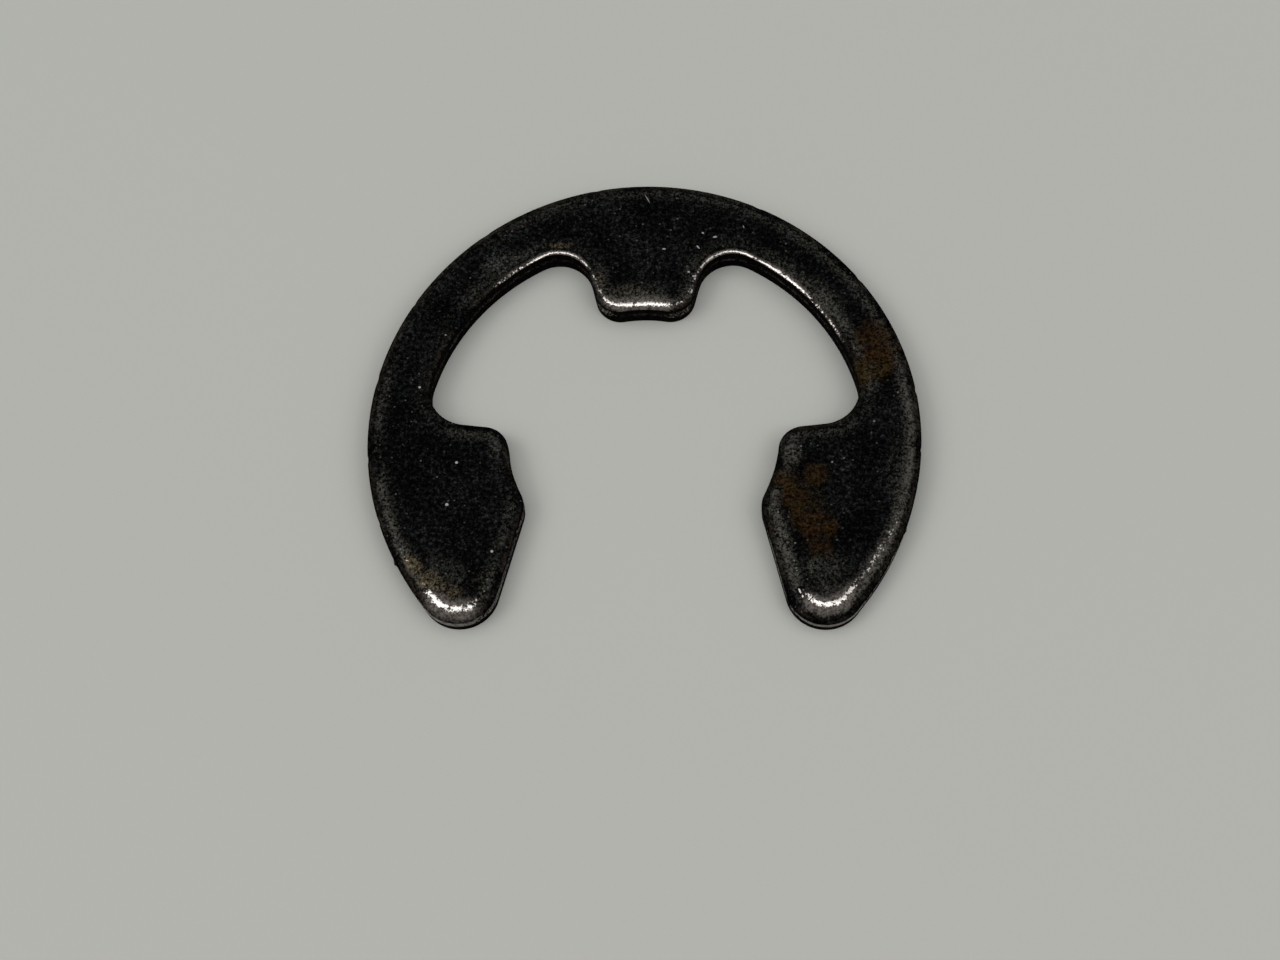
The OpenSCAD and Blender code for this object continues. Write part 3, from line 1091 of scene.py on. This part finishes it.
@dataclass(frozen=True)
class OxideFinish:
    """Black oxide on spring steel: rubbed along the edges, with scuffs, flecks and rust, and a painted
    highlight along the wall.
    """

    black: Colour = (0.0001, 0.0001, 0.0001)
    grey: Colour = (0.53, 0.58, 0.55)
    rubbed: Colour = (0.084, 0.081, 0.068)
    rubbed_dark: Colour = (0.018, 0.017, 0.0145)
    worn: Colour = (0.146, 0.129, 0.114)
    worn_dark: Colour = (0.035, 0.030, 0.028)
    edge_brown: Colour = (0.050, 0.038, 0.024)
    scuffed: Colour = (0.036, 0.041, 0.045)
    dusted: Colour = (0.105, 0.104, 0.096)
    steel: Colour = (0.39, 0.37, 0.342)
    gold: Colour = (0.150, 0.122, 0.072)
    gold_dark: Colour = (0.018, 0.0125, 0.0050)
    rust: Colour = (0.040, 0.0255, 0.0065)
    rust_red: Colour = (0.036, 0.0190, 0.0075)
    rust_dark: Colour = (0.0022, 0.0014, 0.0006)
    wall_black: Colour = (0.0014, 0.0011, 0.0010)
    wall_grey: Colour = (0.016, 0.0130, 0.0115)
    # painted highlight: the lighter colour of the line where the wall's bands meet, standing in for light
    # caught there
    wall_seam_glint: Colour = (0.090, 0.082, 0.072)
    wall_dim: Colour = (0.075, 0.066, 0.058)
    wall_light: Colour = (0.26, 0.228, 0.20)
    specular: float = 0.004
    contrast: float = 8.2
    dusting: float = 0.70
    tint: float = 0.55
    gloss: float = 0.29
    dullness: float = 0.32

    def dress(self, obj: bpy.types.Object) -> None:
        """Gives the ring its finish, laid on coat by coat."""
        sheet = OxideSkin("black_oxide_worn")
        grain, fine, drift, mottle = sheet.grain, sheet.fine, sheet.drift, sheet.mottle
        gold, rust, worn = sheet.gold(), sheet.rust(), sheet.worn()
        bare, polish = sheet.bare(), sheet.polish()
        torn = sheet.math("SUBTRACT", sheet.wall, polish, clamp=True)

        speckle = mottle.ramp(0.34, 0.66)
        golden = sheet.blend(speckle, self.gold_dark, self.gold)
        greyed = sheet.blend(gold, sheet.blend(speckle, self.rubbed_dark, self.rubbed), golden)
        reddish = sheet.blend(drift.ramp(0.42, 0.58), self.rust_red, self.rust)
        tone = grain * 0.65 + fine * 0.35 + (drift - 0.5) * 0.28
        colour = sheet.blend(tone ** self.contrast, self.black, self.grey)
        for share, coat in (
            (sheet.scuffs(), self.scuffed),
            (sheet.dust() * self.dusting, self.dusted),
            (sheet.edge_line(), self.edge_brown),
            (sheet.rubbed(), greyed),
            (sheet.haze(), self.rubbed),
            (gold * mottle.ramp(0.38, 0.60) * self.tint, golden),
            (worn, sheet.blend(speckle, self.worn_dark, self.worn)),
            (rust, sheet.blend(mottle.ramp(0.36, 0.66), self.rust_dark, reddish)),
            (torn, sheet.blend(mottle.ramp(0.48, 0.72), self.wall_black, self.wall_grey)),
            # the painted highlight along the wall where its smooth and torn bands meet
            (sheet.seam() * torn, self.wall_seam_glint),
            (polish, sheet.blend(mottle.ramp(0.32, 0.62), self.wall_dim, self.wall_light)),
            (bare, self.steel),
        ):
            colour = sheet.blend(share, colour, coat)

        bright = bare.most(polish)
        rough = fine.ramp(0.3, 0.7, 0.44, 0.52) - bright * self.gloss
        sheet.coat(obj, Base_Color=colour, Specular_IOR_Level=self.specular, Normal=sheet.relief(torn, bare),
                   Metallic=bright.most(worn * 0.12).ramp(0.0, 0.4) * (1.0 - rust),
                   Roughness=sheet.math("ADD", rough, rust.most(torn) * self.dullness, clamp=True))


# ---- The set ----

BACKDROP: Colour = (0.449, 0.454, 0.422)


def aim(data: bpy.types.ID, azimuth: float, elevation: float, distance: float,
        target: Sequence[float] = (0.0, 0.0, 0.0), roll: float = 0.0) -> bpy.types.Object:
    """Stands a lamp or a camera where it faces a target.

    Args:
        data: The lamp's or the camera's data.
        azimuth: Its direction in plan, from -Y towards +X, in degrees.
        elevation: Its height above the floor, in degrees.
        distance: How far from the target it stands.
        target: What it faces.
        roll: How far it is turned about its line of sight, in degrees.

    Returns:
        The lamp's or the camera's object.
    """
    turn, tilt = math.radians(azimuth), math.radians(elevation)
    back = Vector((math.sin(turn) * math.cos(tilt), -math.cos(turn) * math.cos(tilt), math.sin(tilt)))
    rolled = back.to_track_quat("Z", "Y") @ Quaternion((0.0, 0.0, 1.0), math.radians(roll))
    obj = bpy.data.objects.new(data.name, data)
    obj.location = Vector(target) + distance * back
    obj.rotation_euler = rolled.to_euler()
    bpy.context.collection.objects.link(obj)
    return obj


@dataclass(frozen=True)
class Floor:
    """A plain pale floor, which takes on the backdrop's tone far from the ring.

    Attributes:
        near: The distance from the ring, in millimetres, where the backdrop's tone begins.
        far: The distance from the ring, in millimetres, from which only that tone is seen.
    """

    size: float = 3.0
    colour: Colour = (0.446, 0.452, 0.420)
    roughness: float = 0.7
    specular: float = 0.2
    near: float = 80.0
    far: float = 500.0

    def build(self) -> bpy.types.Object:
        """Adds the floor under the ring.

        The backdrop's tone shows only where the floor is seen or mirrored, so it adds no light.

        Returns:
            The floor's object.
        """
        bpy.ops.object.select_all(action="DESELECT")
        bpy.ops.mesh.primitive_plane_add(size=self.size, location=(0.0, 0.0, 0.0))
        floor = bpy.context.object
        floor.name = "floor"
        sheet = Skin("pale_floor")
        away = sheet.length(sheet.place())
        tone = sheet.node("ShaderNodeEmission", "Emission", {"Color": BACKDROP})
        sheet.show_mixed(away.ramp(self.near, self.far) * sheet.seen(), sheet.shader.outputs["BSDF"], tone)
        sheet.coat(floor, Base_Color=self.colour, Roughness=self.roughness, Specular_IOR_Level=self.specular)
        return floor


@dataclass(frozen=True)
class Lamp:
    """An area lamp that faces the ring.

    Attributes:
        name: The lamp's name.
        azimuth: Its direction in plan, from -Y towards +X, in degrees.
        elevation: Its height above the floor, in degrees.
        width: Its width.
        height: Its height.
        light: The share of the floor's light that it gives.
        distance: How far away it stands.
    """

    name: str
    azimuth: float
    elevation: float
    width: float
    height: float
    light: float
    distance: float = 0.60

    def build(self) -> None:
        """Adds the lamp, with the power that gives the floor its share of light."""
        data = bpy.data.lights.new(self.name, "AREA")
        data.shape = "RECTANGLE"
        data.size = self.width
        data.size_y = self.height
        slant = math.sin(math.radians(self.elevation))
        data.energy = self.light * math.pi ** 2 * self.distance ** 2 / slant
        aim(data, self.azimuth, self.elevation, self.distance)


LAMPS = (
    Lamp("overhead", -12, 75, 1.00, 0.10, 0.42),
    Lamp("zenith", 172, 80, 0.60, 0.30, 0.14),
    Lamp("left", -82, 48, 0.50, 0.30, 0.19),
    Lamp("right", 78, 48, 0.50, 0.30, 0.14),
    Lamp("back", 172, 60, 0.60, 0.25, 0.05),
)


@dataclass(frozen=True)
class Room:
    """The even light that comes from all round."""

    light: Colour = (1.0, 1.0, 0.99)
    strength: float = 0.23

    def build(self) -> None:
        """Sets the world's light, and the paler tone that is seen and mirrored beyond the floor."""
        world = bpy.data.worlds.new("room")
        sheet = Sheet(world)
        light = sheet.tree.nodes["Background"]
        sheet.feed(self.light, light.inputs["Color"])
        sheet.feed(self.strength, light.inputs["Strength"])
        beyond = sheet.node("ShaderNodeBackground", "Background", {"Color": BACKDROP})
        sheet.show_mixed(sheet.seen(), light.outputs["Background"], beyond)
        bpy.context.scene.world = world


@dataclass(frozen=True)
class Viewpoint:
    """The camera: it looks down on the ring from the front, turned a little."""

    elevation: float = 70.20
    azimuth: float = 7.08
    roll: float = -6.77
    distance: float = 81.46 * MM
    target: tuple[float, float, float] = (-0.138 * MM, -1.407 * MM, 0.0)
    lens: float = 61.875
    sensor: float = 36.0
    clip: tuple[float, float] = (MM, 10.0)

    def build(self) -> None:
        """Adds the camera and makes it the scene's own."""
        data = bpy.data.cameras.new("camera")
        data.lens = self.lens
        data.sensor_width = self.sensor
        data.clip_start, data.clip_end = self.clip
        bpy.context.scene.camera = aim(data, self.azimuth, self.elevation, self.distance,
                                       self.target, self.roll)


def main() -> None:
    """Builds the ring and its set."""
    logging.basicConfig(level=logging.INFO, format="%(name)s: %(message)s")
    bpy.context.scene.view_settings.view_transform = "Standard"
    ring = RetainingRing().build()
    OxideFinish().dress(ring)
    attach(ring, BODY)
    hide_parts(NODE)
    log.info("%s: %d faces", ring.name, len(ring.data.polygons))
    floor = Floor().build()
    for lamp in LAMPS:
        lamp.build()
    Room().build()
    Viewpoint().build()
    log.info("set: floor, %d lamps, room light and camera", len(LAMPS))


if __name__ == "__main__":
    main()
